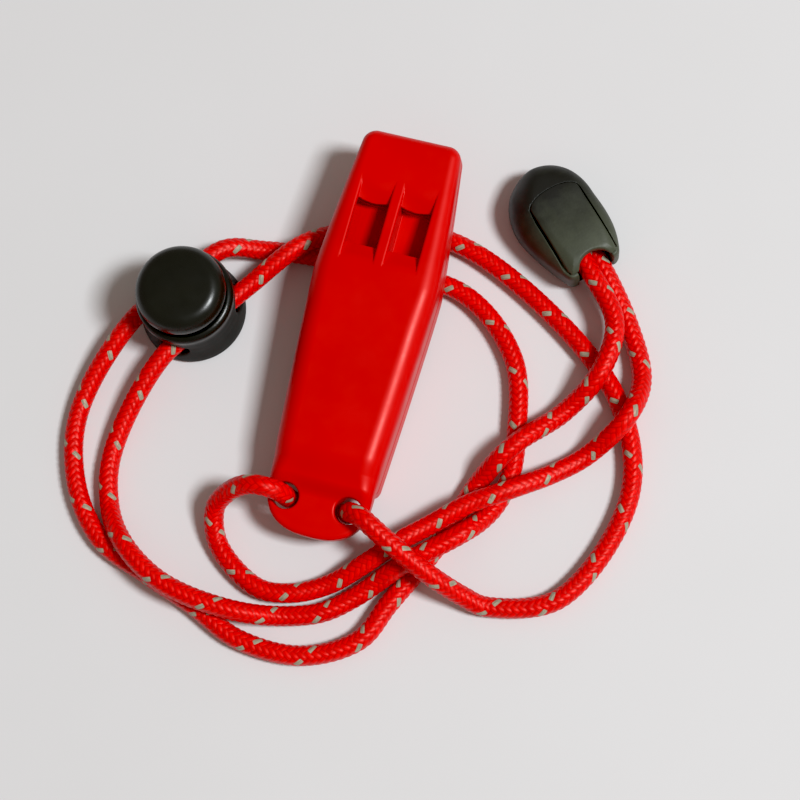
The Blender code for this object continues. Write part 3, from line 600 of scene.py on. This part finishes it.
class Finish:
    """A node material being put together, one short call a node."""

    def __init__(self, name, colour, roughness):
        self.material = bpy.data.materials.new(name)
        self.material.use_nodes = True
        self.tree = self.material.node_tree
        self.shader = self.tree.nodes["Principled BSDF"]
        self.shader.inputs["Base Color"].default_value = (*colour, 1)
        self.shader.inputs["Roughness"].default_value = roughness

    def add(self, kind, values=(), **settings):
        """A node with its settings made and its first inputs given, each a number or a socket."""
        made = self.tree.nodes.new(kind)
        for key, value in settings.items():
            setattr(made, key, value)
        for socket, value in zip(made.inputs, values):
            self.put(value, socket)
        return made

    def put(self, value, socket):
        if isinstance(value, bpy.types.NodeSocket):
            self.tree.links.new(value, socket)
        elif value is not None:
            socket.default_value = value

    def math(self, operation, *values, clamp=False):
        return self.add("ShaderNodeMath", values, operation=operation, use_clamp=clamp).outputs[0]

    def ramp(self, value, low, high, to_low=0.0, to_high=1.0):
        made = self.add("ShaderNodeMapRange", (value, low, high, to_low, to_high))
        return made.outputs[0]

    def noise(self, vector, scale, detail=3.0, roughness=0.5):
        made = self.add("ShaderNodeTexNoise")
        self.put(vector, made.inputs["Vector"])
        made.inputs["Scale"].default_value = scale
        made.inputs["Detail"].default_value = detail
        made.inputs["Roughness"].default_value = roughness
        return made.outputs["Fac"]

    def mixed(self, share, first, second):
        made = self.add("ShaderNodeMix", data_type="RGBA")
        self.put(share, made.inputs["Factor"])
        self.put(first, made.inputs[6])
        self.put(second, made.inputs[7])
        return made.outputs[2]

    def place(self):
        return self.add("ShaderNodeTexCoord").outputs["Object"]

    def bump(self, height, distance_mm, strength=1.0, under=None):
        made = self.add("ShaderNodeBump")
        made.inputs["Strength"].default_value = strength
        made.inputs["Distance"].default_value = distance_mm * MM
        self.put(height, made.inputs["Height"])
        self.put(under, made.inputs["Normal"])
        return made.outputs["Normal"]

    def set(self, name, value):
        self.put(value, self.shader.inputs[name])


def whistle_plastic():
    """Glossy moulded red: slight cloudiness, a fine moulded skin, and rubbed roughness."""
    made = Finish("whistle_red_plastic", (0.58, 0.0, 0.0), 0.36)
    place = made.place()
    cloud = made.ramp(made.noise(place, 60.0, 4.0), 0.35, 0.65)
    made.set("Base Color", made.mixed(cloud, (0.60, 0.0, 0.0, 1), (0.65, 0.0, 0.0, 1)))
    rub = made.noise(place, 240.0, 5.0, 0.6)
    made.set("Roughness", made.ramp(rub, 0.3, 0.7, 0.33, 0.43))
    skin = made.noise(place, 1400.0, 3.0)
    waves = made.noise(place, 90.0, 2.0)
    fine = made.bump(skin, 0.010, 0.5)
    made.set("Normal", made.bump(waves, 0.06, 0.3, under=fine))
    made.shader.inputs["Specular IOR Level"].default_value = 0.6
    made.shader.inputs["Specular Tint"].default_value = (1.0, 0.32, 0.28, 1)
    return made.material


def black_plastic(name, colour, lighter, roughness, grain, shine):
    """Dark moulded plastic with a fine grain and a little handling wear."""
    made = Finish(name, colour, roughness[0])
    place = made.place()
    cloud = made.ramp(made.noise(place, 130.0, 5.0, 0.6), 0.35, 0.7)
    made.set("Base Color", made.mixed(cloud, (*colour, 1), (*lighter, 1)))
    rub = made.noise(place, 420.0, 4.0)
    made.set("Roughness", made.ramp(rub, 0.3, 0.7, *roughness))
    skin = made.noise(place, 2600.0, 2.0)
    made.set("Normal", made.bump(skin, grain, 0.6))
    made.shader.inputs["Specular IOR Level"].default_value = shine
    return made


def barrel_plastic():
    """The lock barrel's black: smooth on the collar, rougher down the skirt."""
    made = black_plastic(
        "matt_black_plastic", (0.0050, 0.0055, 0.0035), (0.0075, 0.0080, 0.0050), (0.30, 0.40), 0.02, 0.35,
    )
    place = made.place()
    height = made.add("ShaderNodeSeparateXYZ", (place,)).outputs[2]
    skirt = made.ramp(height, 0.0094, 0.0080)
    rub = made.noise(place, 420.0, 4.0)
    wear_and_sheen = made.ramp(rub, 0.3, 0.7, -0.04, 0.05)
    rough = made.math("ADD", made.ramp(skirt, 0.0, 1.0, 0.26, 0.62), wear_and_sheen)
    made.set("Roughness", rough)
    return made.material


def clip_plastic():
    """The clip's grained black, with a painted sheen: paler and a little green towards its mouth."""
    dark, sheen_pale = (0.008, 0.0085, 0.006), (0.060, 0.069, 0.042)
    made = black_plastic("moulded_black_plastic", dark, sheen_pale, (0.44, 0.56), 0.03, 0.4)
    place = made.place()
    mouthward = (0.7071, -0.7071, 0.0)
    along = made.add("ShaderNodeVectorMath", (place, mouthward), operation="DOT_PRODUCT").outputs[1]
    streaks = made.noise(place, 260.0, 5.0, 0.65)
    uneven = made.ramp(streaks, 0.3, 0.7, -0.18, 0.18)
    # painted sheen: the colour goes paler towards the clip's mouth, where the light falls on the lid, with
    # random streaks along its edge
    wear_and_sheen = made.math("ADD", made.ramp(along, -0.006, 0.008), uneven, clamp=True)
    made.set("Base Color", made.mixed(wear_and_sheen, (*dark, 1), (*sheen_pale, 1)))
    return made.material


def braid_cord():
    """Red braid, two over two, with one strand of eight one way pale and reflective."""
    made = Finish("braided_red_cord", (0.7, 0.0, 0.0), 0.45)
    braid = made.add("ShaderNodeUVMap", uv_map="braid").outputs[0]
    split = made.add("ShaderNodeSeparateXYZ", (braid,))
    turn = made.math("DIVIDE", split.outputs[0], BRAID_LAY)
    a = made.math("MULTIPLY", made.math("ADD", split.outputs[1], turn), BRAID_STRANDS)
    b = made.math("MULTIPLY", made.math("SUBTRACT", split.outputs[1], turn), BRAID_STRANDS)
    i, j = made.math("FLOOR", a), made.math("FLOOR", b)
    over = made.math("LESS_THAN", made.math("FLOORED_MODULO", made.math("ADD", i, j), 4.0), 2.0)
    under = made.math("SUBTRACT", 1.0, over)

    def by_strand(first, second):
        return made.math("ADD", made.math("MULTIPLY", first, over), made.math("MULTIPLY", second, under))

    across = by_strand(made.math("FRACT", a), made.math("FRACT", b))
    first_run = made.math("FLOORED_MODULO", made.math("ADD", i, b), 4.0)
    second_run = made.math("SUBTRACT", made.math("FLOORED_MODULO", made.math("ADD", j, a), 4.0), 2.0)
    lengthwise = made.math("MULTIPLY", by_strand(first_run, second_run), 0.5)
    strand = by_strand(i, made.math("ADD", j, 31.0))
    crown = made.math("SINE", made.math("MULTIPLY", across, math.pi))
    arch = made.math("SINE", made.math("MULTIPLY", lengthwise, math.pi))
    height = made.math("MULTIPLY", made.math("POWER", crown, 0.9), made.math("POWER", arch, 0.5))

    # filaments run along each strand, a dozen or so side by side
    filament_place = made.add("ShaderNodeCombineXYZ")
    made.put(made.math("MULTIPLY", across, 9.0), filament_place.inputs[0])
    made.put(made.math("ADD", made.math("MULTIPLY", strand, 3.7), lengthwise), filament_place.inputs[1])
    made.put(made.math("MULTIPLY", by_strand(j, i), 1.3), filament_place.inputs[2])
    filament = made.noise(filament_place.outputs[0], 1.0, 3.0, 0.6)
    pick_place = made.add("ShaderNodeCombineXYZ")
    made.put(strand, pick_place.inputs[0])
    made.put(made.math("FLOOR", made.math("DIVIDE", by_strand(b, a), 2.0)), pick_place.inputs[1])
    pick = made.add("ShaderNodeTexWhiteNoise", (pick_place.outputs[0],)).outputs["Value"]

    # painted shade: where the picks dip into the braid's crevices, the colour is mixed to a darker red
    out_of_crevice = made.ramp(height, 0.05, 0.5)
    red = made.mixed(pick, (0.66, 0.0, 0.0, 1), (0.80, 0.0, 0.0, 1))
    red = made.mixed(made.ramp(filament, 0.5, 0.72), red, (0.90, 0.012, 0.008, 1))
    red = made.mixed(out_of_crevice, (0.55, 0.0, 0.0, 1), red)
    tracer = made.math("LESS_THAN", made.math("FLOORED_MODULO", i, float(BRAID_STRANDS)), 1.0)
    tracer = made.math("MULTIPLY", tracer, over)
    tracer = made.math("MULTIPLY", tracer, made.math("GREATER_THAN", height, 0.12))
    grey = made.mixed(made.ramp(filament, 0.35, 0.65), (0.24, 0.225, 0.16, 1), (0.44, 0.41, 0.30, 1))
    made.set("Base Color", made.mixed(tracer, red, grey))
    made.set("Roughness", made.ramp(filament, 0.3, 0.7, 0.28, 0.44))
    fine = made.bump(filament, 0.05, 0.6)
    made.set("Normal", made.bump(height, 0.05, 0.4, under=fine))
    made.shader.inputs["Specular IOR Level"].default_value = 0.5
    made.shader.inputs["Specular Tint"].default_value = (1.0, 0.42, 0.36, 1)
    return made.material


def steel_wire():
    made = Finish("spring_steel_wire", (0.5, 0.5, 0.51), 0.25)
    made.shader.inputs["Metallic"].default_value = 1.0
    place = made.place()
    drawn = made.noise(place, 900.0, 3.0)
    made.set("Roughness", made.ramp(drawn, 0.3, 0.7, 0.18, 0.34))
    made.set("Base Color", made.mixed(made.noise(place, 300.0), (0.42, 0.42, 0.43, 1), (0.6, 0.6, 0.6, 1)))
    made.set("Normal", made.bump(drawn, 0.01, 0.4))
    return made.material


# ---- stage ----


def build_floor():
    made = Finish("pale_paper", (0.72, 0.72, 0.73), 0.85)
    mottle = made.noise(made.place(), 25.0, 3.0)
    made.set("Base Color", made.mixed(mottle, (0.705, 0.700, 0.705, 1), (0.735, 0.730, 0.740, 1)))
    half = 1.5
    mesh = bpy.data.meshes.new("floor")
    corners = [(-half, -half, 0), (half, -half, 0), (half, half, 0), (-half, half, 0)]
    mesh.from_pydata(corners, [], [(0, 1, 2, 3)])
    mesh.materials.append(made.material)
    floor = bpy.data.objects.new("floor", mesh)
    bpy.context.scene.collection.objects.link(floor)


def build_camera():
    view = (CAMERA_TARGET_M - CAMERA_PLACE_M).normalized()
    up_hint = Matrix.Rotation(CAMERA_TURN, 3, "Z") @ Vector((0, 1, 0))
    right = view.cross(up_hint).normalized()
    up = right.cross(view)
    data = bpy.data.cameras.new("camera")
    data.lens = CAMERA_LENS
    data.sensor_width = 36.0
    data.clip_start = 0.01
    camera = bpy.data.objects.new("camera", data)
    facing = Matrix((right, up, -view)).transposed().to_4x4()
    camera.matrix_world = Matrix.Translation(CAMERA_PLACE_M) @ facing
    bpy.context.scene.collection.objects.link(camera)
    bpy.context.scene.camera = camera


def soft_light(name, azimuth, elevation, distance, size, power, colour):
    """An area light that faces the object, from an azimuth counted from +X and an elevation."""
    azimuth, elevation = math.radians(azimuth), math.radians(elevation)
    level = math.cos(elevation)
    direction = Vector((level * math.cos(azimuth), level * math.sin(azimuth), math.sin(elevation)))
    data = bpy.data.lights.new(name, "AREA")
    data.shape = "RECTANGLE"
    data.size, data.size_y = size
    data.energy = power
    data.color = colour
    light = bpy.data.objects.new(name, data)
    light.location = direction * distance
    light.rotation_euler = direction.to_track_quat("Z", "Y").to_euler()
    bpy.context.scene.collection.objects.link(light)


def build_lights():
    soft_light("window", 3.0, 56.0, 1.6, (0.30, 0.34), 24.2, (0.94, 0.98, 1.0))
    world = bpy.data.worlds.new("room")
    world.use_nodes = True
    background = world.node_tree.nodes["Background"]
    background.inputs["Color"].default_value = (1.0, 0.85, 0.75, 1)
    background.inputs["Strength"].default_value = 0.26
    bpy.context.scene.world = world
    view = bpy.context.scene.view_settings
    view.view_transform = "Standard"
    view.use_curve_mapping = True
    view.curve_mapping.black_level = (BLACK_LEVEL, BLACK_LEVEL, BLACK_LEVEL)
    view.curve_mapping.update()


# ---- making ----

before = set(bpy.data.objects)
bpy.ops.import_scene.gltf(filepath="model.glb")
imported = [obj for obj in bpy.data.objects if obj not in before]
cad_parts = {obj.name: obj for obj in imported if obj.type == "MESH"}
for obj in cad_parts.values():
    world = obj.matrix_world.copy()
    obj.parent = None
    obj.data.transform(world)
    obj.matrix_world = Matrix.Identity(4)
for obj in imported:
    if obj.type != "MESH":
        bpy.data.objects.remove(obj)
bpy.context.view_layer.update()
build_camera()
cord_material = braid_cord()
build_cord(cord_material)
build_knot(cord_material)
build_whistle(whistle_plastic())
button_black = black_plastic(
    "satin_black_plastic", (0.0060, 0.0070, 0.0045), (0.0085, 0.0095, 0.0060), (0.24, 0.33), 0.012, 0.4,
)
build_lock(button_black.material, barrel_plastic())
build_clip(clip_plastic())
for material_slot in bpy.data.objects["lock_spring"].material_slots:
    material_slot.material = steel_wire()
build_floor()
build_lights()
